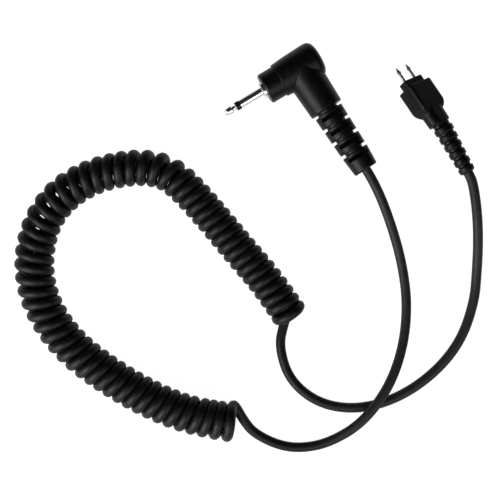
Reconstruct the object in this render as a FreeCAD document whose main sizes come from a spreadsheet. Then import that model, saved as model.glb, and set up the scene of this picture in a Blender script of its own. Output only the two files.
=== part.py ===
import FreeCAD, Part
import math
import os

import Sketcher

# A coiled trigger lead: a right-angled mono jack plug and a small two-pin plug, joined by a cord with two
# straight tails and one coiled section. Everything lies on the plane z = 0, with +Z up. The origin is under
# the middle of the box that holds the two plugs. Lengths are millimetres and angles are degrees.

DIMENSIONS = (
    # The jack plug. Stations run along its contact from the middle of the elbow towards the tip.
    ("jack_x", -13.59, "middle of the elbow"),
    ("jack_y", 11.62, "middle of the elbow"),
    ("jack_z", 5.38, "height of the plug's axes"),
    ("jack_turn", 211.1, "direction of the contact about +Z"),
    ("elbow_angle", 92.2, "from the contact's direction to the barrel's"),
    ("contact_dia", 2.5, "sleeve diameter of the standard plug"),
    ("tip_end", 24.8, "station of the tip"),
    ("flange_front", 12.41, "station of the flange's front"),
    ("flange_thick", 0.98, "thickness of the flange"),
    ("flange_dia", 4.8, "diameter of the flange"),
    ("sleeve_long", 7.1, "bare length of the sleeve"),
    ("ring_long", 1.35, "length of the insulator ring"),
    ("tip_head_long", 2.95, "length of the tip's head"),
    ("tip_dia", 2.3, "largest diameter of the tip's head"),
    ("tip_bevel", 1.05, "from where the tip's head starts to close to its point"),
    ("waist_dia", 1.46, "waist between the ring and the tip's head"),
    ("rod_dia", 1.0, "rod behind the tip"),
    ("rivet_dia", 1.7, "riveted end of that rod"),
    ("rivet_long", 0.4, "length of the riveted end"),
    ("bush_dia", 1.7, "insulating bush round the rod"),
    ("core_dia", 4.2, "buried rear of the sleeve contact"),
    ("core_inset", 0.3, "from the start of the housing to the rear of the core"),
    ("washer_thick", 0.6, "rear insulating washer"),
    ("lug_thick", 0.4, "solder lugs"),
    ("lug_dia", 3.8, "round part of a lug"),
    ("lug_reach", 3.1, "end of a lug's tab, from the axis"),
    ("lug_side", 0.8, "middle of a tab, from the plug's flat middle plane"),
    ("lug_wide", 1.1, "width of a tab"),
    ("lug_root", 0.8, "start of a tab, from the axis"),
    ("nose_dia", 8.9, "inner body where it shows"),
    ("nose_rear", 6.75, "station where the housing starts"),
    ("inner_dia", 8.0, "inner body inside the housing"),
    ("chamber_dia", 7.0, "wiring chamber in the inner body"),
    ("inner_rear", 3.2, "rear of the inner body behind the elbow's middle"),
    ("inner_wall", 0.8, "rear wall of the inner body"),
    ("way_dia", 3.2, "way for the wires into the chamber"),
    ("way_deep", 1.4, "how far that way runs into the chamber"),
    ("head_front_dia", 9.7, "housing beside the nose"),
    ("head_dia", 10.75, "housing at its back"),
    ("head_rear", 6.65, "back of the housing behind the elbow's middle"),
    ("head_round", 2.1, "rounding of the back"),
    ("head_crown", 0.75, "how far the back is crowned"),
    ("barrel_long", 13.68, "end of the barrel from the elbow's middle"),
    ("barrel_dia", 10.6, "barrel at the elbow"),
    ("barrel_end_dia", 9.7, "barrel at its end"),
    ("relief_long", 20.15, "strain relief of the jack plug"),
    ("relief_dia", 8.6, "strain relief at the barrel"),
    ("relief_end_dia", 7.1, "strain relief at its end"),
    ("relief_spigot", 6.6, "root of the strain relief inside the barrel"),
    ("relief_root", 2.5, "length of that root"),
    ("relief_collar", 5.6, "plain collar at the end"),
    ("relief_pitch", 4.45, "from one pair of slots to the next of the same side"),
    ("relief_slot", 0.95, "width of a slot"),
    ("relief_core", 6.2, "round core that the first slots leave"),
    ("relief_core_step", 0.25, "how much thinner the core is at each next pair of slots"),
    ("relief_spine", 1.7, "width of the spines above and below that the slots leave"),
    ("relief_window", 6.4, "width of the windows above and below"),
    ("relief_window_gap", 0.83, "from a slot to the next window"),
    ("relief_floor", 1.9, "height of a window's floor above the axis"),
    ("relief_window_long", 1.1, "length of a window"),
    # The two-pin plug. Stations run along its axis from the front of the shell, positive towards the pins.
    ("plug_x", 18.61, "front of the shell"),
    ("plug_y", 6.69, "front of the shell"),
    ("plug_z", 4.6, "front of the shell"),
    ("plug_turn", 122.0, "direction of the pins about +Z"),
    ("plug_dip", 9.0, "how far the pins point down"),
    ("plug_roll", 32.0, "roll about the plug's axis"),
    ("shell_long", 9.6, "block of the shell"),
    ("shell_wide", 8.8, "width of the block"),
    ("shell_thick", 5.9, "thickness of the block"),
    ("shell_edge", 0.9, "edges of the block"),
    ("shell_flat", 6.2, "length of its flat faces, up to the bevels at the rear"),
    ("shell_bevel", 18.0, "angle of those bevels"),
    ("shell_round", 3.0, "rear corners in plan"),
    ("neck_rear", 12.8, "rear of the neck behind the front of the shell"),
    ("neck_front", 6.4, "front of the neck inside the block"),
    ("neck_wide", 7.3, "width of the neck at the block"),
    ("neck_end_wide", 6.8, "width of the neck at its rear"),
    ("neck_thick", 4.8, "thickness of the neck"),
    ("neck_edge", 2.3, "edges of the neck"),
    ("nose_long", 2.2, "nose block in front of the shell"),
    ("nose_wide", 7.0, "width of the nose block"),
    ("nose_thick", 3.15, "thickness of the nose block"),
    ("nose_edge", 0.6, "edges of the nose block"),
    ("insert_deep", 3.6, "insert inside the shell"),
    ("insert_wide", 6.0, "width of the insert inside the shell"),
    ("insert_thick", 3.4, "thickness of the insert inside the shell"),
    ("pin_gap", 4.05, "from one pin to the other"),
    ("pin_dia", 0.95, "diameter of a pin"),
    ("pin_reach", 4.9, "length of a pin in front of the nose"),
    ("pin_head_dia", 1.4, "barb of a pin"),
    ("pin_head_long", 1.9, "from a pin's barb to its point"),
    ("pin_stub", 1.0, "solder end of a pin behind the insert"),
    ("wiring_room", 4.2, "from the insert to the end of the jacket"),
    ("wiring_thick", 3.0, "thickness of the room for the wires"),
    ("boot_turn", 118.5, "direction of the pin plug's strain relief about +Z"),
    ("boot_dip", 4.0, "how far that strain relief points down"),
    ("boot_side", 0.2, "start of that strain relief's axis, beside the plug's axis"),
    ("boot_long", 15.7, "strain relief of the pin plug"),
    ("boot_dia", 5.75, "first rib"),
    ("boot_end_dia", 4.35, "end collar"),
    ("boot_ribs", 5, "ribs before the end collar"),
    ("boot_pitch", 2.53, "from one rib to the next"),
    ("boot_rib", 1.85, "length of a rib"),
    ("boot_first", 1.2, "gap before the first rib"),
    ("boot_step", 0.45, "depth of a gap"),
    ("boot_root", 1.2, "front of the blank, inside the neck, before it is trimmed"),
    ("boot_pocket", 3.0, "width of the deep pockets"),
    ("boot_pocket_long", 1.1, "length of a deep pocket"),
    ("boot_pocket_floor", 1.95, "height of a pocket's floor above the axis"),
    # The cord.
    ("cord_dia", 2.8, "jacket of the cord"),
    ("jack_run", 6.2, "straight run out of the jack plug's strain relief"),
    ("pin_run", 5.8, "straight run out of the pin plug's strain relief"),
    ("coil_dia", 10.8, "outside of the coiled section"),
    ("cores_gap", 1.3, "from the jack's inner body to the end of the jacket"),
    ("wire_dia", 0.9, "insulated wires inside"),
    ("wire_split", 0.5, "middle of a wire, from the cord's middle, at the end of the jacket"),
    ("strand_dia", 0.5, "bare end of a wire"),
    ("strand_long", 0.6, "bare length of a wire's end at a lug"),
    ("clamp_dia", 3.7, "clamp on the jacket"),
    ("clamp_long", 2.0, "length of that clamp"),
    ("clamp_inset", 0.6, "from the end of the jacket to the clamp"),
    ("solder_dia", 1.2, "solder joint at its foot"),
    ("solder_tall", 0.7, "height of a solder joint"),
)

# Centre lines of the cord's tails. Each tail starts with a straight run out of its strain relief, then
# follows these points and ends in the coiled section. The jack's tail crosses over the other one between
# its two highest points.
JACK_TAIL = (
    (12.9, -32.5, 3.4),
    (16.3, -43.2, 1.5),
    (17.7, -54.3, 1.4),
    (16.3, -65.8, 3.4),
    (11.4, -77.3, 7.25),
    (4.3, -87.2, 7.25),
    (-5.1, -93.3, 3.4),
    (-13.2, -95.5, 1.4),
    (-20.3, -94.6, 1.4),
    (-26.2, -91.0, 2.2),
    (-30.4, -85.3, 4.6),
)
PIN_TAIL = (
    (36.4, -29.6, 6.8),
    (36.9, -37.6, 4.8),
    (37.0, -45.6, 2.2),
    (36.6, -53.6, 1.4),
    (32.8, -64.5, 1.4),
    (25.2, -74.0, 1.4),
    (14.5, -81.3, 1.4),
    (3.1, -84.4, 1.4),
    (-7.7, -82.5, 1.4),
    (-15.8, -76.0, 1.4),
    (-19.4, -66.7, 1.4),
    (-17.9, -56.7, 3.4),
)
# The centre line of the coiled section, which lies on the surface.
COIL = (
    (-30.7, -87.4),
    (-42.0, -86.1),
    (-53.0, -82.2),
    (-65.8, -75.3),
    (-78.3, -66.0),
    (-86.0, -54.6),
    (-88.3, -43.3),
    (-86.2, -31.9),
    (-80.4, -23.7),
    (-72.1, -18.7),
    (-63.4, -16.4),
    (-55.7, -16.0),
    (-49.1, -18.1),
    (-40.7, -26.8),
    (-30.2, -39.5),
    (-21.8, -49.1),
    (-16.1, -57.7),
)

doc = FreeCAD.newDocument("TriggerLead")
sheet = doc.addObject("Spreadsheet::Sheet", "Sizes")
nodes = []


class Formula:
    """A number that also carries the text of the sheet formula it comes from."""

    def __init__(self, text, value):
        self.text = text
        self.value = value

    def __add__(self, other):
        other = formula(other)
        return Formula(f"({self.text} + {other.text})", self.value + other.value)

    def __sub__(self, other):
        other = formula(other)
        return Formula(f"({self.text} - {other.text})", self.value - other.value)

    def __mul__(self, other):
        other = formula(other)
        return Formula(f"({self.text} * {other.text})", self.value * other.value)

    def __truediv__(self, other):
        other = formula(other)
        return Formula(f"({self.text} / {other.text})", self.value / other.value)

    def __neg__(self):
        return Formula(f"(0 - {self.text})", -self.value)


def formula(number):
    """A plain number as a Formula; a Formula as it is."""
    return number if isinstance(number, Formula) else Formula(f"{number}", number)


def cosine(angle):
    return Formula(f"cos({angle.text})", math.cos(math.radians(angle.value)))


def sine(angle):
    return Formula(f"sin({angle.text})", math.sin(math.radians(angle.value)))


def fill_sheet():
    """Writes the driving dimensions to the sheet, and gives them back as named formulas."""
    for row, (alias, value, meaning) in enumerate(DIMENSIONS, 1):
        sheet.set(f"A{row}", alias)
        sheet.set(f"B{row}", str(value))
        sheet.set(f"C{row}", meaning)
        sheet.setAlias(f"B{row}", alias)
    doc.recompute()
    return {alias: Formula(f"Sizes.{alias}", float(sheet.get(alias))) for alias, _, _ in DIMENSIONS}


size = fill_sheet()


def frame(x, y, z, turn, dip=0, roll=0):
    """The text of a placement at a point, turned about +Z, then dipped, then rolled about its own X."""
    x, y, z, turn, dip, roll = (formula(value).text for value in (x, y, z, turn, dip, roll))
    return f"placement(vector({x}; {y}; {z}); rotation({turn}; {dip}; {roll}))"


def bind(item, **formulas):
    """Binds an object's properties to formulas."""
    for name, value in formulas.items():
        item.setExpression(name, formula(value).text)


def node(item, name, placement):
    """Makes an object a sub-part: names it and places it."""
    item.Label = name
    item.setExpression("Placement", placement)
    nodes.append(item)
    return item


def rod(name, start, end, dia, end_dia=None):
    """A cylinder or cone along X between two stations."""
    item = doc.addObject("Part::Cylinder" if end_dia is None else "Part::Cone", name)
    bind(item, Height=formula(end) - start)
    if end_dia is None:
        bind(item, Radius=formula(dia) / 2)
    else:
        bind(item, Radius1=formula(dia) / 2, Radius2=formula(end_dia) / 2)
    item.setExpression("Placement", frame(start, 0, 0, 0, 90))
    return item


def block(name, low, high):
    """A box between two corners."""
    item = doc.addObject("Part::Box", name)
    bind(
        item,
        Length=formula(high[0]) - low[0],
        Width=formula(high[1]) - low[1],
        Height=formula(high[2]) - low[2],
    )
    item.setExpression("Placement", frame(*low, 0))
    return item


def held(item):
    """A compound of one solid, so that the solid keeps its place within its sub-part's frame."""
    holder = doc.addObject("Part::Compound", f"{item.Name}Held")
    holder.Links = [item]
    return holder


def fuse(name, items):
    item = doc.addObject("Part::MultiFuse", name)
    item.Shapes = items
    return item


def cut(name, base, tools):
    """A solid less one or more tools."""
    item = doc.addObject("Part::Cut", name)
    item.Base = base
    item.Tool = tools[0] if len(tools) == 1 else fuse(f"{name}Tools", tools)
    return item


def outline(body, name, points):
    """A closed sketch of straight edges on a body's XY plane, each corner bound to formulas."""
    sketch = body.newObject("Sketcher::SketchObject", name)
    plane = [item for item in body.Origin.OriginFeatures if item.Role == "XY_Plane"][0]
    sketch.AttachmentSupport = [(plane, "")]
    sketch.MapMode = "FlatFace"
    corners = [(formula(x), formula(y)) for x, y in points]
    spots = [FreeCAD.Vector(x.value, y.value, 0) for x, y in corners]
    count = len(spots)
    for index in range(count):
        sketch.addGeometry(Part.LineSegment(spots[index], spots[(index + 1) % count]))
    for index in range(count):
        sketch.addConstraint(Sketcher.Constraint("Coincident", index, 2, (index + 1) % count, 1))
    for index, corner in enumerate(corners):
        for kind, value, axis in zip(("DistanceX", "DistanceY"), corner, (-2, -1)):
            if value.value == 0:
                sketch.addConstraint(Sketcher.Constraint("PointOnObject", index, 1, axis))
                continue
            key = sketch.addConstraint(Sketcher.Constraint(kind, -1, 1, index, 1, value.value))
            sketch.setExpression(f"Constraints[{key}]", value.text)
    return sketch


def turned(name, points):
    """A body turned about X from an outline of stations and radii."""
    body = doc.addObject("PartDesign::Body", name)
    sketch = outline(body, f"{name}Outline", points)
    turn = body.newObject("PartDesign::Revolution", f"{name}Turn")
    turn.Profile = sketch
    turn.ReferenceAxis = (sketch, ["H_Axis"])
    turn.Angle = 360
    body.Tip = turn
    return body


def slab(name, points, thick):
    """A body padded both ways from an outline in the plug's flat middle plane."""
    body = doc.addObject("PartDesign::Body", name)
    pad = body.newObject("PartDesign::Pad", f"{name}Pad")
    pad.Profile = outline(body, f"{name}Outline", points)
    pad.Midplane = True
    bind(pad, Length=thick)
    body.Tip = pad
    return body


def rounded(body, feature_type, amount, chosen):
    """Rounds or chamfers the edges of a body's last feature that a test picks."""
    doc.recompute()
    edges = [f"Edge{n}" for n, edge in enumerate(body.Tip.Shape.Edges, 1) if chosen(edge)]
    base = body.Tip
    feature = body.newObject(feature_type, f"{body.Name}{feature_type[12:]}{len(body.Group)}")
    feature.Base = (base, edges)
    bind(feature, **{"Radius" if feature_type.endswith("Fillet") else "Size": amount})
    body.Tip = feature
    return body


def at_station(station, radius=None):
    """A test for edges that lie wholly at one station, at one radius when it is given."""

    def chosen(edge):
        box = edge.BoundBox
        flat = abs(box.XMin - station.value) < 1e-4 and abs(box.XMax - station.value) < 1e-4
        return flat and (radius is None or abs(box.YMax - radius.value) < 1e-4)

    return chosen


def tube_along(points, dia):
    """A tube along straight runs joined by tangent arcs, each arc as large as its two runs allow."""
    spots = [FreeCAD.Vector(*point) for point in points]
    edges = []
    radii = []
    last = spots[0]
    for before, corner, after in zip(spots, spots[1:], spots[2:]):
        back = before - corner
        ahead = after - corner
        reach = 0.45 * min(back.Length, ahead.Length)
        half_turn = (math.pi - back.getAngle(ahead)) / 2
        radius = reach / math.tan(half_turn)
        start = corner + back.normalize() * reach
        end = corner + ahead.normalize() * reach
        inward = (start + end) * 0.5 - corner
        middle = corner + inward.normalize() * (radius / math.cos(half_turn) - radius)
        edges.append(Part.LineSegment(last, start).toShape())
        edges.append(Part.Arc(start, middle, end).toShape())
        radii.append(radius)
        last = end
    edges.append(Part.LineSegment(last, spots[-1]).toShape())
    path = Part.Wire(edges)
    ring = Part.Wire([Part.makeCircle(dia / 2, spots[0], spots[1] - spots[0])])
    tube = path.makePipeShell([ring], True, False)
    expected = math.pi * dia**2 / 4 * path.Length
    if abs(tube.Volume / expected - 1) > 0.002:
        raise SystemExit(f"a tube's volume is {tube.Volume:.1f}, not {expected:.1f}")
    return tube, path.Length, radii


def feature(name, shape):
    item = doc.addObject("Part::Feature", name)
    item.Shape = shape
    return item


jack_frame = frame(size["jack_x"], size["jack_y"], size["jack_z"], size["jack_turn"])
barrel_frame = frame(
    size["jack_x"], size["jack_y"], size["jack_z"], size["jack_turn"] + size["elbow_angle"]
)
plug_frame = frame(
    size["plug_x"],
    size["plug_y"],
    size["plug_z"],
    size["plug_turn"],
    size["plug_dip"],
    size["plug_roll"],
)
neck_level = size["neck_rear"] * cosine(size["plug_dip"])
boot_place = (
    size["plug_x"] - neck_level * cosine(size["plug_turn"]) + size["boot_side"] * sine(size["plug_turn"]),
    size["plug_y"] - neck_level * sine(size["plug_turn"]) - size["boot_side"] * cosine(size["plug_turn"]),
    size["plug_z"] + size["neck_rear"] * sine(size["plug_dip"]),
)
boot_frame = frame(*boot_place, size["boot_turn"], size["boot_dip"])

# Stations inside the jack plug, from the flange back to the end of the rod.
flange_rear = size["flange_front"] - size["flange_thick"]
sleeve_end = size["flange_front"] + size["sleeve_long"]
ring_end = sleeve_end + size["ring_long"]
core_rear = size["nose_rear"] - size["core_inset"]
sleeve_lug_rear = core_rear - size["lug_thick"]
washer_rear = sleeve_lug_rear - size["washer_thick"]
tip_lug_rear = washer_rear - size["lug_thick"]
rod_end = tip_lug_rear - size["rivet_long"]
wire_line = size["lug_reach"] - size["lug_wide"] / 2
strand_start = size["solder_tall"] + size["strand_long"]
cores_start = size["inner_dia"] / 2 + size["cores_gap"]

# Stations inside the two-pin plug.
pin_cord_front = -size["insert_deep"] - size["wiring_room"]
pin_clamp_front = pin_cord_front - size["clamp_inset"]
pin_rear = -size["insert_deep"] - size["pin_stub"]


def jack_tip_contact():
    """The tip: a pointed head on a waist, and the rod that runs back to the tip's lug."""
    head_start = size["tip_end"] - size["tip_head_long"]
    rod_radius = size["rod_dia"] / 2
    rivet_radius = size["rivet_dia"] / 2
    waist = size["waist_dia"] / 2
    points = (
        (rod_end, 0),
        (rod_end, rivet_radius),
        (tip_lug_rear, rivet_radius),
        (tip_lug_rear, rod_radius),
        (ring_end, rod_radius),
        (ring_end, size["contact_dia"] / 2 - 0.2),
        (ring_end + 0.35, waist),
        (head_start - 0.1, waist),
        (head_start + 0.4, size["tip_dia"] / 2),
        (size["tip_end"] - size["tip_bevel"], size["tip_dia"] / 2 - 0.08),
        (size["tip_end"] - 0.12, 0.28),
        (size["tip_end"], 0),
    )
    node(turned("JackTip", points), "jack_tip_contact", jack_frame)


def jack_tip_insulator():
    """The bush round the rod, with the ring that shows between sleeve and tip."""
    points = (
        (washer_rear, size["rod_dia"] / 2),
        (ring_end, size["rod_dia"] / 2),
        (ring_end, size["contact_dia"] / 2),
        (sleeve_end, size["contact_dia"] / 2),
        (sleeve_end, size["bush_dia"] / 2),
        (washer_rear, size["bush_dia"] / 2),
    )
    node(turned("JackBush", points), "jack_tip_insulator", jack_frame)


def jack_sleeve_contact():
    """The sleeve with its flange, and the thicker core that the inner body grips."""
    points = (
        (core_rear, size["bush_dia"] / 2),
        (sleeve_end, size["bush_dia"] / 2),
        (sleeve_end, size["contact_dia"] / 2),
        (size["flange_front"], size["contact_dia"] / 2),
        (size["flange_front"], size["flange_dia"] / 2),
        (flange_rear, size["flange_dia"] / 2),
        (flange_rear, size["core_dia"] / 2),
        (core_rear, size["core_dia"] / 2),
    )
    body = turned("JackSleeve", points)
    rim = at_station(size["flange_front"], size["flange_dia"] / 2)
    rounded(body, "PartDesign::Chamfer", 0.2, rim)
    node(body, "jack_sleeve_contact", jack_frame)


def jack_washer():
    """The insulating washer between the two lugs."""
    ring = rod("WasherDisc", washer_rear, sleeve_lug_rear, size["core_dia"])
    hole = rod("WasherHole", washer_rear, sleeve_lug_rear, size["bush_dia"])
    node(cut("JackWasher", ring, [hole]), "jack_rear_insulator", jack_frame)


def jack_lug(name, label, rear, hole_dia, side):
    """A round lug with a tab for the wire, on one side of the plug's middle plane."""
    front = rear + size["lug_thick"]
    disc = rod(f"{name}Disc", rear, front, size["lug_dia"])
    middle = size["lug_side"] * side
    tab = block(
        f"{name}Tab",
        (rear, size["lug_root"], middle - size["lug_wide"] / 2),
        (front, size["lug_reach"], middle + size["lug_wide"] / 2),
    )
    hole = rod(f"{name}Hole", rear, front, hole_dia)
    node(cut(name, fuse(f"{name}Blank", [disc, tab]), [hole]), label, jack_frame)


def cores_hole(name):
    """The way from the barrel's bore into the wiring chamber."""
    start = size["inner_rear"] - size["inner_wall"] - size["way_deep"]
    return shifted_along_barrel(rod(name, start, cores_start, size["way_dia"]), start)


def shifted_along_barrel(item, start):
    """Turns a rod of the barrel into the contact's frame."""
    along = (cosine(size["elbow_angle"]), sine(size["elbow_angle"]))
    start = formula(start)
    item.setExpression(
        "Placement", frame(along[0] * start, along[1] * start, 0, size["elbow_angle"], 90)
    )
    return item


def jack_inner_body():
    """The hard insert that holds the contacts: a nose that shows and a chamber for the wires."""
    points = (
        (-size["inner_rear"], 0),
        (-size["inner_rear"], size["inner_dia"] / 2),
        (size["nose_rear"], size["inner_dia"] / 2),
        (size["nose_rear"], size["nose_dia"] / 2),
        (flange_rear, size["nose_dia"] / 2),
        (flange_rear, 0),
    )
    body = turned("InnerBlank", points)
    rounded(body, "PartDesign::Fillet", 0.55, at_station(flange_rear, size["nose_dia"] / 2))
    core = rod("InnerCore", core_rear, flange_rear, size["core_dia"])
    chamber = rod("InnerChamber", -size["inner_rear"] + size["inner_wall"], core_rear, size["chamber_dia"])
    node(cut("JackInner", body, [core, chamber, cores_hole("InnerWay")]), "jack_inner_body", jack_frame)


def jack_housing():
    """The moulded elbow: a head round the inner body and a barrel for the cord."""
    rear = -size["head_rear"]
    rim = rear + size["head_crown"]
    rim_radius = size["head_dia"] / 2 - 0.12
    points = (
        (size["nose_rear"], 0),
        (size["nose_rear"], size["head_front_dia"] / 2),
        (size["nose_rear"] / 2, size["head_front_dia"] / 2 + 0.3),
        (-size["head_rear"] / 2, size["head_dia"] / 2),
        (rim, rim_radius),
        (rear, 0),
    )
    head = turned("HeadBlank", points)
    rounded(head, "PartDesign::Fillet", size["head_round"], at_station(rim, rim_radius))
    barrel = rod("BarrelBlank", 0, size["barrel_long"], size["barrel_dia"], size["barrel_end_dia"])
    shifted_along_barrel(barrel, 0)
    whole = fuse("ElbowBlank", [head, barrel])
    pocket = rod("HousingPocket", -size["inner_rear"], size["nose_rear"], size["inner_dia"])
    root = size["barrel_long"] - size["relief_root"]
    clamp = cores_start + size["clamp_inset"]
    bores = [
        ("HousingCord", cores_start, size["barrel_long"], size["cord_dia"]),
        ("HousingClamp", clamp, clamp + size["clamp_long"], size["clamp_dia"]),
        ("HousingRoot", root, size["barrel_long"], size["relief_spigot"]),
    ]
    tools = [shifted_along_barrel(rod(*bore), bore[1]) for bore in bores]
    tools += [pocket, cores_hole("HousingWay")]
    node(cut("JackHousing", whole, tools), "jack_housing", jack_frame)


def relief_slot(name, start, side, core_dia):
    """A slot from one side: it stops at the round core and at the spines, where its end is round."""
    wide = size["relief_slot"]
    reach = size["relief_dia"]
    inner = (size["relief_spine"] + wide) / 2
    low, high = sorted((inner * side, reach * side), key=lambda place: place.value)
    straight = block(f"{name}Straight", (start, low, -reach), (start + wide, high, reach))
    end = doc.addObject("Part::Cylinder", f"{name}End")
    bind(end, Radius=wide / 2, Height=reach * 2)
    end.setExpression("Placement", frame(start + wide / 2, inner * side, -reach, 0))
    core = rod(f"{name}Core", start, start + wide, core_dia)
    return cut(name, fuse(f"{name}Whole", [straight, end]), [core])


def relief_window(name, start, side):
    """A flat-bottomed window across the top or the underside."""
    half = size["relief_window"] / 2
    floor = size["relief_floor"] * side
    low, high = sorted((floor, size["relief_dia"] * side), key=lambda place: place.value)
    return block(name, (start, -half, low), (start + size["relief_window_long"], half, high))


def jack_strain_relief():
    """The tapered relief: slots in both sides and windows above and below take turns along it."""
    start = size["barrel_long"]
    end = start + size["relief_long"]
    root = start - size["relief_root"]
    collar = end - size["relief_collar"]
    points = (
        (root, size["cord_dia"] / 2),
        (end, size["cord_dia"] / 2),
        (end, size["relief_end_dia"] / 2),
        (collar, size["relief_end_dia"] / 2 + 0.4),
        (start, size["relief_dia"] / 2),
        (start, size["relief_spigot"] / 2),
        (root, size["relief_spigot"] / 2),
    )
    body = turned("ReliefBlank", points)
    rounded(body, "PartDesign::Fillet", 0.5, at_station(end, size["relief_end_dia"] / 2))
    tools = []
    for index in range(4):
        slot = start + size["relief_pitch"] * index
        window = slot + size["relief_slot"] + size["relief_window_gap"]
        core_dia = size["relief_core"] - size["relief_core_step"] * index
        for side in (-1, 1):
            tools.append(relief_slot(f"Slot{index}{'LR'[side > 0]}", slot, side, core_dia))
            tools.append(relief_window(f"Window{index}{'DU'[side > 0]}", window, side))
    node(cut("JackRelief", body, tools), "jack_strain_relief", barrel_frame)


def jack_cord_end():
    """The end of the jacket inside the barrel and its strain relief."""
    end = size["barrel_long"] + size["relief_long"]
    jacket = rod("JackJacket", cores_start, end, size["cord_dia"])
    node(held(jacket), "jack_cord_end", barrel_frame)


def pin_cord_end():
    """The end of the jacket inside the neck and its strain relief, with the bends between them."""
    shell = (size["plug_x"], size["plug_y"], size["plug_z"])
    front = exit_point(shell, size["plug_turn"].value, size["plug_dip"].value, pin_cord_front.value)
    bend = exit_point(shell, size["plug_turn"].value, size["plug_dip"].value, -size["neck_rear"].value)
    inside = pin_exit(-size["pin_run"].value)
    tube, _, _ = tube_along((front, bend, inside, pin_exit()), size["cord_dia"].value)
    node(feature("PinJacket", tube), "pin_cord_end", frame(0, 0, 0, 0))


def cord_clamp(name, label, start, placement):
    """The metal clamp squeezed onto the jacket."""
    end = start + size["clamp_long"]
    ring = rod(f"{name}Ring", start, end, size["clamp_dia"])
    hole = rod(f"{name}Hole", start, end, size["cord_dia"])
    node(cut(name, ring, [hole]), label, placement)


def jack_wire(name, label, lug_rear, side):
    """An insulated wire from the jacket's end, round a bend, to its lug."""
    line = size["lug_side"].value * side
    entry = cores_start.value - 0.1
    height = wire_line.value
    tilt = math.radians(size["elbow_angle"].value)
    points = (
        (entry * math.cos(tilt), entry * math.sin(tilt), size["wire_split"].value * side),
        (0.1, height + 1.2, line * 0.9),
        (0.5, height + 0.1, line),
        (1.6, height, line),
        (lug_rear.value - strand_start.value, height, line),
    )
    tube, _, _ = tube_along(points, size["wire_dia"].value)
    node(feature(name, tube), label, jack_frame)


def jack_strands_and_solder():
    """The bare ends of both wires, and the solder that joins them to the lugs."""
    strands = []
    joints = []
    for name, rear, side in (("Tip", tip_lug_rear, 1), ("Sleeve", sleeve_lug_rear, -1)):
        foot = rear - size["solder_tall"]
        start = rear - strand_start
        line = size["lug_side"] * side
        strand = rod(f"{name}Strand", start, foot, size["strand_dia"])
        strand.setExpression("Placement", frame(start, wire_line, line, 0, 90))
        joint = rod(f"{name}Joint", foot, rear, size["strand_dia"] * 1.4, size["solder_dia"])
        joint.setExpression("Placement", frame(foot, wire_line, line, 0, 90))
        strands.append(strand)
        joints.append(joint)
    node(fuse("JackStrands", strands), "jack_wire_strands", jack_frame)
    node(fuse("JackSolder", joints), "jack_solder_joints", jack_frame)


def contact_pin(name, label, side):
    """A pin with a spear head, and the end that is soldered behind the insert."""
    tip = size["nose_long"] + size["pin_reach"]
    barb = tip - size["pin_head_long"]
    radius = size["pin_dia"] / 2
    points = (
        (pin_rear, 0),
        (pin_rear, radius),
        (barb - 0.15, radius),
        (barb, size["pin_head_dia"] / 2),
        (barb + 0.35, size["pin_head_dia"] / 2),
        (tip - 0.1, 0.12),
        (tip, 0),
    )
    body = turned(name, points)
    away = size["pin_gap"] / 2 * side
    body.setExpression("Placement", frame(0, away, 0, 0))
    node(held(body), label, plug_frame)


def pin_holes(name, start, end):
    """Two rods where the pins pass."""
    rods = []
    for side in (-1, 1):
        item = rod(f"{name}{'AB'[side > 0]}", start, end, size["pin_dia"])
        item.setExpression("Placement", frame(start, size["pin_gap"] / 2 * side, 0, 0, 90))
        rods.append(item)
    return rods


def pin_insert():
    """The insert that holds the pins: a nose block outside the shell and a smaller block inside."""
    half = size["nose_wide"] / 2
    points = ((0, -half), (size["nose_long"], -half), (size["nose_long"], half), (0, half))
    nose = slab("NoseBlock", points, size["nose_thick"])
    rounded(nose, "PartDesign::Fillet", size["nose_edge"], lambda edge: edge.BoundBox.XLength > 1.0)
    rounded(nose, "PartDesign::Fillet", 0.25, at_station(size["nose_long"]))
    inner = block(
        "InsertInner",
        (-size["insert_deep"], -size["insert_wide"] / 2, -size["insert_thick"] / 2),
        (0, size["insert_wide"] / 2, size["insert_thick"] / 2),
    )
    blank = fuse("InsertBlank", [nose, inner])
    holes = pin_holes("InsertHole", -size["insert_deep"] - 1, size["nose_long"] + 1)
    node(cut("PinInsert", blank, holes), "pin_plug_insert", plug_frame)


def shell_bevel(side):
    """What the bevel at the rear of a flat face takes away, as a tilted block."""
    away = size["shell_thick"] * side
    low, high = sorted((formula(0), away), key=lambda place: place.value)
    half = size["shell_wide"]
    name = f"ShellBevel{'DU'[side > 0]}"
    tool = held(block(name, (-size["shell_long"], -half, low), (0, half, high)))
    tilt = -size["shell_bevel"] * side
    tool.setExpression("Placement", frame(-size["shell_flat"], 0, away / 2, 0, tilt))
    return tool


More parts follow.
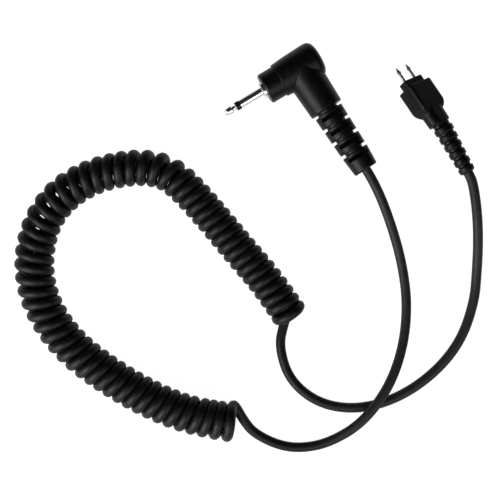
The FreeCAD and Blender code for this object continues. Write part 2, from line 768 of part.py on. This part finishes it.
def pin_shell():
    """The moulded shell: a block with rounded rear corners that runs into a rounded neck."""
    half = size["shell_wide"] / 2
    rear = -size["shell_long"]
    points = ((rear, -half), (0, -half), (0, half), (rear, half))
    body = slab("ShellBlock", points, size["shell_thick"])

    def rear_corner(edge):
        box = edge.BoundBox
        return box.ZLength > 1 and abs(box.XMax - rear.value) < 1e-4

    def front_corner(edge):
        box = edge.BoundBox
        return box.ZLength > 1 and abs(box.XMin) < 1e-4

    def long_edges(edge):
        box = edge.BoundBox
        return box.ZLength < 1e-4 and box.XMin < -0.5

    rounded(body, "PartDesign::Fillet", size["shell_round"], rear_corner)
    rounded(body, "PartDesign::Fillet", size["shell_edge"], long_edges)
    bevels = [shell_bevel(side) for side in (-1, 1)]
    neck_half = size["neck_wide"] / 2
    neck_end_half = size["neck_end_wide"] / 2
    neck_rear = -size["neck_rear"]
    neck_front = -size["neck_front"]
    neck_points = (
        (neck_rear, -neck_end_half),
        (neck_front, -neck_half),
        (neck_front, neck_half),
        (neck_rear, neck_end_half),
    )
    neck = slab("NeckBlank", neck_points, size["neck_thick"])
    rounded(neck, "PartDesign::Fillet", size["neck_edge"], lambda edge: edge.BoundBox.XLength > 1.0)
    blank = fuse("ShellBlank", [cut("ShellBevelled", body, bevels), neck])
    socket = block(
        "ShellSocket",
        (-size["insert_deep"], -size["insert_wide"] / 2, -size["insert_thick"] / 2),
        (0, size["insert_wide"] / 2, size["insert_thick"] / 2),
    )
    chamber = block(
        "ShellChamber",
        (pin_cord_front, -size["insert_wide"] / 2 + 0.2, -size["wiring_thick"] / 2),
        (-size["insert_deep"], size["insert_wide"] / 2 - 0.2, size["wiring_thick"] / 2),
    )
    bore = rod("ShellBore", -size["neck_rear"], pin_cord_front, size["cord_dia"] + 0.2)
    grip = rod("ShellGrip", pin_clamp_front - size["clamp_long"], pin_clamp_front, size["clamp_dia"])
    tools = [socket, chamber, bore, grip]
    node(cut("PinShell", blank, tools), "pin_plug_shell", plug_frame)


def pin_boot():
    """The ribbed strain relief, trimmed flush with the neck that it leaves at a small angle."""
    end = size["boot_long"]
    ribs = int(size["boot_ribs"].value)
    top = size["boot_dia"] / 2
    taper = (top - size["boot_end_dia"] / 2) / end
    bore = size["cord_dia"] / 2 + 0.1
    root = size["boot_root"]
    points = [(root, bore + size["boot_side"]), (root, top - size["boot_step"] + taper)]
    for index in range(ribs):
        start = size["boot_first"] + size["boot_pitch"] * index
        stop = start + size["boot_rib"]
        outer = top - taper * (start + stop) / 2
        points += [(-start, outer - size["boot_step"]), (-start - 0.2, outer), (-stop + 0.2, outer)]
        points += [(-stop, outer - size["boot_step"])]
    collar = size["boot_first"] + size["boot_pitch"] * ribs
    points += [
        (-collar, top - taper * collar - size["boot_step"]),
        (-collar - 0.2, size["boot_end_dia"] / 2 + 0.15),
        (-end + 0.4, size["boot_end_dia"] / 2),
        (-end, size["boot_end_dia"] / 2 - 0.4),
        (-end, bore),
    ]
    body = turned("BootBlank", points)
    pockets = []
    half = size["boot_pocket"] / 2
    for index in (0, 2, 4):
        stop = size["boot_first"] + size["boot_pitch"] * index
        start = stop - size["boot_pocket_long"]
        for side in (-1, 1):
            floor = size["boot_pocket_floor"] * side
            low, high = sorted((floor, size["boot_dia"] * side), key=lambda place: place.value)
            name = f"Pocket{index}{'DU'[side > 0]}"
            pockets.append(block(name, (-stop, -half, low), (-start, half, high)))
    shaped = cut("BootShaped", body, pockets)
    shaped.setExpression("Placement", boot_frame)
    front = block("BootTrim", (-size["neck_rear"], -6, -6), (0, 6, 6))
    trim = held(front)
    trim.setExpression("Placement", plug_frame)
    node(cut("PinBoot", shaped, [trim]), "pin_strain_relief", frame(0, 0, 0, 0))


def pin_wires():
    """The insulated wires from the jacket's end to the pins."""
    start = pin_cord_front.value + 0.1
    end = pin_rear.value - 0.5
    away = size["pin_gap"].value / 2
    split = size["wire_split"].value
    for side, label in ((1, "pin_signal_wire"), (-1, "pin_ground_wire")):
        points = (
            (start, split * side, 0),
            (start + 0.8, (split + 0.1) * side, 0),
            (end - 0.8, away * side, 0),
            (end, away * side, 0),
        )
        tube, _, _ = tube_along(points, size["wire_dia"].value)
        node(feature(label.title().replace("_", ""), tube), label, plug_frame)


def pin_strands_and_solder():
    """The bare ends of both wires, and the solder round each pin's rear."""
    start = pin_rear - 0.5
    end = pin_rear + 0.8
    strands = []
    joints = []
    for side in (-1, 1):
        away = size["pin_gap"] / 2 * side
        strand = rod(f"PinStrand{'AB'[side > 0]}", start, pin_rear, size["strand_dia"])
        strand.setExpression("Placement", frame(start, away, 0, 0, 90))
        front_dia = size["solder_dia"] + 0.3
        joint = rod(f"PinJoint{'AB'[side > 0]}", pin_rear, end, size["pin_dia"] + 0.15, front_dia)
        joint.setExpression("Placement", frame(pin_rear, away, 0, 0, 90))
        strands.append(strand)
        joints.append(joint)
    node(fuse("PinStrands", strands), "pin_wire_strands", plug_frame)
    holes = pin_holes("JointHole", pin_rear, end)
    node(cut("PinSolder", fuse("PinJoints", joints), holes), "pin_solder_joints", plug_frame)


def exit_point(place, turn, dip, along):
    """A point along a placed X axis, as plain numbers."""
    turn = math.radians(turn)
    dip = math.radians(dip)
    x, y, z = (formula(value).value for value in place)
    return (
        x + along * math.cos(turn) * math.cos(dip),
        y + along * math.sin(turn) * math.cos(dip),
        z - along * math.sin(dip),
    )


def jack_exit(further=0):
    """The point where the cord leaves the jack plug's strain relief, or a point straight out of it."""
    return exit_point(
        (size["jack_x"], size["jack_y"], size["jack_z"]),
        size["jack_turn"].value + size["elbow_angle"].value,
        0,
        size["barrel_long"].value + size["relief_long"].value + further,
    )


def pin_exit(further=0):
    """The point where the cord leaves the pin plug's strain relief, or a point straight out of it."""
    return exit_point(
        boot_place,
        size["boot_turn"].value,
        size["boot_dip"].value,
        -size["boot_long"].value - further,
    )


def tail(label, start, first, route, coil):
    """One tail of the cord, up to the coiled section."""
    tube, length, radii = tube_along((start, first, *route), size["cord_dia"].value)
    print(label, "from", [round(v, 2) for v in start], "by", [round(v, 2) for v in first])
    print(label, "length", round(length, 1), "radii", [round(r, 1) for r in radii])
    name = label.title().replace("_", "")
    node(cut(name, feature(f"{name}Blank", tube), [coil]), label, frame(0, 0, 0, 0))


def cord():
    """The two tails and the outer shape of the coiled section, each a sub-part of its own."""
    points = [(x, y, size["coil_dia"].value / 2) for x, y in COIL]
    shape, length, radii = tube_along(points, size["coil_dia"].value)
    print("coiled_section length", round(length, 1), "radii", [round(r, 1) for r in radii])
    coil = node(feature("Coil", shape), "coiled_section", frame(0, 0, 0, 0))
    tail("jack_tail", jack_exit(), jack_exit(size["jack_run"].value), JACK_TAIL, coil)
    tail("pin_tail", pin_exit(), pin_exit(size["pin_run"].value), PIN_TAIL, coil)


def build():
    jack_tip_contact()
    jack_tip_insulator()
    jack_sleeve_contact()
    jack_washer()
    jack_lug("TipLug", "jack_tip_lug", tip_lug_rear, size["rod_dia"], 1)
    jack_lug("SleeveLug", "jack_sleeve_lug", sleeve_lug_rear, size["bush_dia"], -1)
    jack_inner_body()
    jack_housing()
    jack_strain_relief()
    jack_cord_end()
    cord_clamp("JackClamp", "jack_cord_clamp", cores_start + size["clamp_inset"], barrel_frame)
    jack_wire("JackSignalWire", "jack_signal_wire", tip_lug_rear, 1)
    jack_wire("JackGroundWire", "jack_ground_wire", sleeve_lug_rear, -1)
    jack_strands_and_solder()
    contact_pin("SignalPin", "signal_pin", 1)
    contact_pin("GroundPin", "ground_pin", -1)
    pin_insert()
    pin_shell()
    pin_boot()
    pin_wires()
    pin_strands_and_solder()
    pin_cord_end()
    cord_clamp("PinClamp", "pin_cord_clamp", pin_clamp_front - size["clamp_long"], plug_frame)
    cord()


def check_and_write():
    """Stops if anything failed, then writes each sub-part to its own file."""
    doc.recompute()
    failed = [item.Name for item in doc.Objects if {"Invalid", "Error"} & set(item.State)]
    for item in nodes:
        if item.Shape.isNull() or not item.Shape.isValid() or not item.Shape.Solids:
            failed.append(item.Label)
    if failed:
        raise SystemExit(f"these failed: {failed}")
    os.makedirs("parts", exist_ok=True)
    for item in nodes:
        item.Shape.exportStep(f"parts/{item.Label}.step")
        print(item.Label, len(item.Shape.Solids), "solids", round(item.Shape.Volume, 2), "mm3")


build()
check_and_write()
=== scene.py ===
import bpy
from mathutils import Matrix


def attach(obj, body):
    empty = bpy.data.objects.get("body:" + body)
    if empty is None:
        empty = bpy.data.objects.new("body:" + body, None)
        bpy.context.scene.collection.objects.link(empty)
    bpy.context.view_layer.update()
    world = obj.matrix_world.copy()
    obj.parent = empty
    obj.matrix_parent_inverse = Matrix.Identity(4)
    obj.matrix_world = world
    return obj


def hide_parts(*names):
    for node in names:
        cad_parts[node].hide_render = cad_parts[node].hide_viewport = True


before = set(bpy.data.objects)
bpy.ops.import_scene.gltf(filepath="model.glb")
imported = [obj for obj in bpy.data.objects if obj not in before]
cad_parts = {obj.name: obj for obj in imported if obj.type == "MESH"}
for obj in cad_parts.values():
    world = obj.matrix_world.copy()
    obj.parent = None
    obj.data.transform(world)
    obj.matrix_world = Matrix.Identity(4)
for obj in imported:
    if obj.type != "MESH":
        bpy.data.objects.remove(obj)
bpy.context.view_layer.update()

import math
import random

import bpy
from mathutils import Vector

# Lengths are in metres, in the frame of the CAD model: +Z up from the surface that the lead lies on.

# The camera looks straight down from above the middle of the lead. Its lens and sensor are in millimetres.
CAMERA_PLACE = (-0.02751, -0.03916, 0.2646)
CAMERA_LENS = 66.74
CAMERA_SENSOR = 36.0

# The cord, from the jack plug's strain relief to the pin plug's. Its tails follow the CAD model's route, with
# their points moved a little, and the pin plug's tail ends just inside its strain relief.
CORD_DIAMETER = 0.0028
JACK_EXIT = (0.00498, -0.01666, 0.00538)
PIN_EXIT = (0.03295, -0.01769, 0.0077)
JACK_TAIL = (
    JACK_EXIT,
    (0.0078, -0.0211, 0.0054),
    (0.0124, -0.0323, 0.0036),
    (0.0157, -0.0432, 0.0016),
    (0.0172, -0.0545, 0.0014),
    (0.0159, -0.0665, 0.0024),
    (0.0116, -0.0777, 0.0043),
    (0.0042, -0.0877, 0.0043),
    (-0.0051, -0.0938, 0.0021),
    (-0.0134, -0.0955, 0.0014),
    (-0.0200, -0.0944, 0.0014),
    (-0.0265, -0.0910, 0.0017),
    (-0.0293, -0.0873, 0.0028),
    (-0.0318, -0.0825, 0.0047),
)
PIN_TAIL = (
    (-0.0180, -0.0603, 0.0014),
    (-0.0193, -0.0666, 0.0014),
    (-0.0163, -0.0762, 0.0014),
    (-0.0079, -0.0829, 0.0014),
    (0.0032, -0.0845, 0.0014),
    (0.0147, -0.0812, 0.0014),
    (0.0251, -0.0740, 0.0014),
    (0.0325, -0.0648, 0.0014),
    (0.0362, -0.0537, 0.0014),
    (0.0367, -0.0456, 0.0021),
    (0.0365, -0.0376, 0.0046),
    (0.0357, -0.0292, 0.0070),
    (0.0343, -0.0206, 0.0079),
    PIN_EXIT,
    (0.03262, -0.01707, 0.0077),
)
# The middle of the coiled section, along the surface.
COIL_ROUTE = (
    (-0.0325, -0.0873),
    (-0.0420, -0.0861),
    (-0.0530, -0.0822),
    (-0.0658, -0.0753),
    (-0.0783, -0.0660),
    (-0.0860, -0.0546),
    (-0.0883, -0.0433),
    (-0.0862, -0.0319),
    (-0.0804, -0.0237),
    (-0.0721, -0.0187),
    (-0.0634, -0.0164),
    (-0.0557, -0.0160),
    (-0.0491, -0.0181),
    (-0.0407, -0.0268),
    (-0.0302, -0.0395),
    (-0.0218, -0.0491),
    (-0.0161, -0.0577),
)
# The last turn ends underneath the coil.
TURNS = 58.75
POINTS_PER_TURN = 8
# How far a turn can be out of its place, along the coil.
UNEVENNESS = 0.00008
# Along the coil, as shares of its length: its outer diameter, its strand, how far each turn leans sideways,
# and how far its top is ahead of its bottom.
COIL_DIAMETER = (
    (0.0, 0.0112),
    (0.06, 0.0109),
    (0.30, 0.0109),
    (0.42, 0.0111),
    (0.52, 0.0107),
    (0.62, 0.01035),
    (0.72, 0.01035),
    (0.82, 0.0102),
    (1.0, 0.0103),
)
STRAND_DIAMETER = (
    (0.0, 0.00305),
    (0.38, 0.00310),
    (0.54, 0.00308),
    (0.70, 0.00310),
    (0.76, 0.00292),
    (1.0, 0.00290),
)
LEAN = ((0.0, -0.15), (0.05, 0.10), (0.55, 0.10), (0.72, -0.05), (0.97, -0.08), (1.0, -0.15))
TIP = (
    (0.0, -0.05),
    (0.40, -0.10),
    (0.48, -0.20),
    (0.53, -0.20),
    (0.575, -0.04),
    (0.975, 0.0),
    (0.99, 0.20),
    (1.0, 0.24),
)

# The mouldings' edges are worn on meshes with cells of this size.
MOULD_CELL = 0.00011
# Each moulding with how many times its edges are smoothed.
MOULDINGS = {"jack_housing": 4, "jack_strain_relief": 3, "pin_plug_shell": 18, "pin_strain_relief": 3}

FLOOR_WIDTH = 3.0
LIGHTS_AIM = (-0.0275, -0.04, 0.0)


def smooth_step(value, start, end):
    """From 0 at start to 1 at end, with no corner at either."""
    part = min(max((value - start) / (end - start), 0.0), 1.0)
    return part * part * (3 - 2 * part)


def profile(stops, share):
    """The value at a share of the way along, eased between stops of (share, value)."""
    for (start, low), (end, high) in zip(stops, stops[1:]):
        if share <= end:
            return low + (high - low) * smooth_step(share, start, end)
    return stops[-1][1]


def placed(name, data):
    """A new object in the scene."""
    made = bpy.data.objects.new(name, data)
    bpy.context.scene.collection.objects.link(made)
    return made


def final_mesh(piece):
    """A new mesh of what a curve or an object with modifiers comes to."""
    bpy.context.view_layer.update()
    return bpy.data.meshes.new_from_object(piece.evaluated_get(bpy.context.evaluated_depsgraph_get()))


def make_camera():
    data = bpy.data.cameras.new("camera")
    data.lens = CAMERA_LENS
    data.sensor_width = CAMERA_SENSOR
    data.clip_start = 0.01
    camera = placed("camera", data)
    camera.location = CAMERA_PLACE
    bpy.context.scene.camera = camera


def nurbs(name, points, radii, pieces_per_point):
    """A curve object of one smooth NURBS spline with these control points."""
    data = bpy.data.curves.new(name, "CURVE")
    data.dimensions = "3D"
    spline = data.splines.new("NURBS")
    spline.points.add(len(points) - 1)
    for control, point, radius in zip(spline.points, points, radii):
        control.co = (*point, 1.0)
        control.radius = radius
    spline.order_u = 3
    spline.use_endpoint_u = True
    spline.use_smooth = True
    data.resolution_u = pieces_per_point
    return placed(name, data)


def line_of(points):
    """The smooth line of a route: points read off its NURBS spline."""
    curve = nurbs("route", points, [1.0] * len(points), 24)
    mesh = final_mesh(curve)
    line = [vertex.co.copy() for vertex in mesh.vertices]
    bpy.data.meshes.remove(mesh)
    bpy.data.objects.remove(curve)
    return line


class Line:
    """A line that gives its point, direction and turning at any distance along it."""

    def __init__(self, points):
        self.points = points
        self.along = [0.0]
        for before, after in zip(points, points[1:]):
            self.along.append(self.along[-1] + (after - before).length)
        self.length = self.along[-1]

    def point(self, distance):
        distance = min(max(distance, 0.0), self.length)
        low, high = 1, len(self.along) - 1
        while low < high:
            middle = (low + high) // 2
            if self.along[middle] < distance:
                low = middle + 1
            else:
                high = middle
        part = (distance - self.along[low - 1]) / (self.along[low] - self.along[low - 1])
        return self.points[low - 1].lerp(self.points[low], part)

    def direction(self, distance, reach=0.002):
        start = max(distance - reach, 0.0)
        end = min(distance + reach, self.length)
        return (self.point(end) - self.point(start)).normalized()

    def turning(self, distance, reach=0.004):
        """How fast the line turns to the right, in radians per metre."""
        start = max(distance - reach, reach / 2)
        end = min(distance + reach, self.length - reach / 2)
        before = self.direction(start)
        after = self.direction(end)
        angle = math.atan2(after.cross(before).z, before.dot(after))
        return angle / (end - start)


def turn_size(share):
    """At a share of the way along the coil: its strand's diameter, and the radius of the strand's middle."""
    strand = profile(STRAND_DIAMETER, share)
    return strand, (profile(COIL_DIAMETER, share) - strand) / 2


def crowding(line, distance):
    """How close together the turns are here. They have least room on the inside of a bend to the right."""
    strand, reach = turn_size(distance / line.length)
    room = 1 - max(line.turning(distance), 0.0) * reach
    return room / strand


def helix_point(line, distance, turn, shift):
    """One control point of the helix, and its radius."""
    share = distance / line.length
    strand, reach = turn_size(share)
    # A quadratic spline cuts inside its control points, so they stand out a little further.
    outer = reach / math.cos(math.pi / POINTS_PER_TURN)
    forward = line.direction(distance)
    right = Vector((forward.y, -forward.x, 0))
    side = math.cos(2 * math.pi * turn) * outer
    rise = math.sin(2 * math.pi * turn) * outer
    ahead = profile(TIP, share) * rise - profile(LEAN, share) * side + shift
    up = Vector((0, 0, reach + strand / 2 + rise))
    return line.point(distance) + right * side + forward * ahead + up, strand / 2


def helix(steps=1200, seed=59):
    """The coiled section's control points and radii: a left-handed helix that follows the coil's route.
    Its turns crowd together on the inside of the bends to the right, and fan out on the outside.
    Neighbouring turns overlap, by about a twentieth of the strand's diameter as a rule and by a quarter
    of it at the last turn."""
    chance = random.Random(seed)
    line = Line(line_of([(x, y, 0.0) for x, y in COIL_ROUTE]))
    step = line.length / steps
    rates = [crowding(line, (index + 0.5) * step) for index in range(steps)]
    turns_in_step = TURNS / sum(rates)
    shifts = [chance.uniform(-UNEVENNESS, UNEVENNESS) for _ in range(int(TURNS) + 2)]
    total = int(TURNS * POINTS_PER_TURN)
    rounding = 1e-9
    points = []
    radii = []
    turned = 0.0
    for index, rate in enumerate([*rates, 0.0]):
        while len(points) <= total and turned >= len(points) / POINTS_PER_TURN - rounding:
            turn = len(points) / POINTS_PER_TURN
            part = turn % 1
            shift = shifts[int(turn)] * (1 - part) + shifts[int(turn) + 1] * part
            point, radius = helix_point(line, min(index * step, line.length), turn, shift)
            points.append(point)
            radii.append(radius)
        turned += rate * turns_in_step
    # The last point is where the cord comes to lie on the surface.
    points[-1].z = radii[-1]
    return points, radii


def make_cord():
    """The whole cord, as one spline: the jack's tail, the helix, then the pin plug's tail."""
    turns, thickness = helix()
    half = CORD_DIAMETER / 2
    points = [*JACK_TAIL, *turns, *PIN_TAIL]
    radii = [half] * len(JACK_TAIL) + thickness + [half] * len(PIN_TAIL)
    cord = nurbs("cord", points, radii, 8)
    # The points' radii are in metres, and the bevel only multiplies them.
    cord.data.bevel_depth = 1.0
    cord.data.bevel_resolution = 4
    cord.data.use_fill_caps = True
    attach(cord, "root")
    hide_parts("jack_tail", "coiled_section", "pin_tail")
    return cord


def principled(name, roughness, metallic=0.0, specular=0.5):
    """A new material, with its node tree and its shader."""
    material = bpy.data.materials.new(name)
    material.use_nodes = True
    tree = material.node_tree
    shader = tree.nodes["Principled BSDF"]
    shader.inputs["Roughness"].default_value = roughness
    shader.inputs["Metallic"].default_value = metallic
    shader.inputs["Specular IOR Level"].default_value = specular
    return material, tree, shader


def noise(tree, scale, detail=3.0):
    """Noise in the object's own metres. A scale of 1000 gives features about a millimetre across."""
    place = tree.nodes.new("ShaderNodeTexCoord")
    texture = tree.nodes.new("ShaderNodeTexNoise")
    texture.inputs["Scale"].default_value = scale
    texture.inputs["Detail"].default_value = detail
    tree.links.new(place.outputs["Object"], texture.inputs["Vector"])
    return texture.outputs["Fac"]


def ranged(tree, value, low, high, start=0.3, end=0.7):
    """Maps a value between start and end onto the range from low to high."""
    item = tree.nodes.new("ShaderNodeMapRange")
    item.inputs["From Min"].default_value = start
    item.inputs["From Max"].default_value = end
    item.inputs["To Min"].default_value = low
    item.inputs["To Max"].default_value = high
    tree.links.new(value, item.inputs["Value"])
    return item.outputs["Result"]


def patchy(tree, scale, dark, light):
    """A grey that changes between two shades in soft patches."""
    ramp = tree.nodes.new("ShaderNodeValToRGB")
    for stop, position, shade in zip(ramp.color_ramp.elements, (0.35, 0.65), (dark, light)):
        stop.position = position
        stop.color = (shade, shade, shade, 1)
    tree.links.new(noise(tree, scale), ramp.inputs["Fac"])
    return ramp.outputs["Color"]


def across(tree, start, end, first, second):
    """Goes from one colour to the other between two places along X."""
    place = tree.nodes.new("ShaderNodeTexCoord")
    parts = tree.nodes.new("ShaderNodeSeparateXYZ")
    tree.links.new(place.outputs["Object"], parts.inputs["Vector"])
    mix = tree.nodes.new("ShaderNodeMixRGB")
    tree.links.new(ranged(tree, parts.outputs["X"], 0.0, 1.0, start, end), mix.inputs["Fac"])
    tree.links.new(first, mix.inputs["Color1"])
    tree.links.new(second, mix.inputs["Color2"])
    return mix.outputs["Color"]


def bumped(tree, shader, value, depth):
    bump = tree.nodes.new("ShaderNodeBump")
    bump.inputs["Distance"].default_value = depth
    tree.links.new(value, bump.inputs["Height"])
    tree.links.new(bump.outputs["Normal"], shader.inputs["Normal"])


def satin(name, roughness, grain, depth, specular=0.12):
    """Satin plastic or rubber that has no shade yet: uneven gloss and a fine moulded grain."""
    material, tree, shader = principled(name, roughness, specular=specular)
    gloss = ranged(tree, noise(tree, 900.0), roughness - 0.05, roughness + 0.06)
    tree.links.new(gloss, shader.inputs["Roughness"])
    bumped(tree, shader, noise(tree, grain, 2.0), depth)
    return material, tree, shader


def plastic(name, shades, roughness, grain, depth):
    """Satin black plastic with a faint change of shade."""
    material, tree, shader = satin(name, roughness, grain, depth)
    tree.links.new(patchy(tree, 320.0, *shades), shader.inputs["Base Color"])
    return material


def cord_jacket():
    """The cord's rubber, with painted light and shade: darker where the cord is coiled, where the turns shade
    each other, and paler where it runs free on the bright floor.
    """
    material, tree, shader = satin("cord_jacket", roughness=0.49, grain=4000.0, depth=0.00002, specular=0.14)
    # Painted shade: the coiled turns get a darker base colour than the free tails, in place of the shade they
    # cast on each other.
    coiled = patchy(tree, 320.0, 0.0008, 0.0020)
    free = patchy(tree, 320.0, 0.0055, 0.0080)
    tree.links.new(across(tree, -0.016, 0.004, coiled, free), shader.inputs["Base Color"])
    return material


def metal(name, shades, roughness):
    """Plated metal: a slightly uneven tint, and a finish with fine marks."""
    material, tree, shader = principled(name, roughness, metallic=1.0)
    tree.links.new(patchy(tree, 500.0, *shades), shader.inputs["Base Color"])
    gloss = ranged(tree, noise(tree, 2500.0), roughness - 0.03, roughness + 0.04)
    tree.links.new(gloss, shader.inputs["Roughness"])
    bumped(tree, shader, noise(tree, 3000.0, 2.0), 0.0000007)
    return material


def finish_with(material, *names):
    """Gives CAD nodes their material."""
    for name in names:
        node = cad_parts[name]
        node.data.materials.clear()
        node.data.materials.append(material)


def softened(node, passes):
    """A copy of a CAD node as it comes out of a mould: remeshed finely, with its edges worn round."""
    piece = placed(f"{node}_moulded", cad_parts[node].data.copy())
    remesh = piece.modifiers.new("remesh", "REMESH")
    remesh.mode = "VOXEL"
    remesh.voxel_size = MOULD_CELL
    smooth = piece.modifiers.new("smooth", "SMOOTH")
    smooth.factor = 0.5
    smooth.iterations = passes
    made = final_mesh(piece)
    piece.modifiers.clear()
    piece.data = made
    made.shade_smooth()
    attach(piece, "root")
    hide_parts(node)
    return piece


def make_mouldings():
    moulded = plastic("moulded_black", (0.0003, 0.0009), roughness=0.42, grain=5000.0, depth=0.00002)
    for node, passes in MOULDINGS.items():
        piece = softened(node, passes)
        piece.data.materials.clear()
        piece.data.materials.append(moulded)


def finish_contacts():
    """The plugs' hard parts, which keep their CAD shapes."""
    hard = plastic("hard_black", (0.0004, 0.0012), roughness=0.4, grain=6000.0, depth=0.00001)
    finish_with(hard, "jack_inner_body", "pin_plug_insert")
    nickel = metal("nickel", (0.58, 0.66), roughness=0.18)
    finish_with(nickel, "jack_sleeve_contact", "jack_tip_contact", "signal_pin", "ground_pin")
    insulator = plastic("insulator", (0.003, 0.006), roughness=0.3, grain=6000.0, depth=0.000005)
    finish_with(insulator, "jack_tip_insulator", "jack_rear_insulator")


def make_stage():
    data = bpy.data.meshes.new("floor")
    half = FLOOR_WIDTH / 2
    corners = [(-half, -half, 0), (half, -half, 0), (half, half, 0), (-half, half, 0)]
    data.from_pydata(corners, [], [(0, 1, 2, 3)])
    floor = placed("floor", data)
    material, _, shader = principled("pale_floor", 0.9)
    shader.inputs["Base Color"].default_value = (0.1, 0.1, 0.1, 1)
    shader.inputs["Emission Color"].default_value = (1, 1, 1, 1)
    shader.inputs["Emission Strength"].default_value = 0.98
    floor.data.materials.append(material)


def softbox(name, place, size, power):
    """A square light, aimed at the middle of the lead."""
    data = bpy.data.lights.new(name, "AREA")
    data.energy = power
    data.size = size
    light = placed(name, data)
    light.location = place
    light.rotation_euler = (Vector(LIGHTS_AIM) - Vector(place)).to_track_quat("-Z", "Y").to_euler()


def make_lights():
    world = bpy.data.worlds.new("studio")
    world.use_nodes = True
    tree = world.node_tree
    background = tree.nodes["Background"]
    background.inputs["Color"].default_value = (1, 1, 1, 1)
    # The room looks white to the camera, and lights the lead only a little.
    rays = tree.nodes.new("ShaderNodeLightPath")
    strength = ranged(tree, rays.outputs["Is Camera Ray"], 0.03, 1.0, 0.0, 1.0)
    tree.links.new(strength, background.inputs["Strength"])
    bpy.context.scene.world = world
    softbox("left_softbox", (-0.52, -0.48, 0.42), size=0.62, power=15.0)
    softbox("front_softbox", (0.30, -0.50, 0.50), size=0.6, power=4.0)
    bpy.context.scene.view_settings.view_transform = "Standard"


make_camera()
lead = make_cord()
lead.data.materials.append(cord_jacket())
make_mouldings()
finish_contacts()
make_stage()
make_lights()
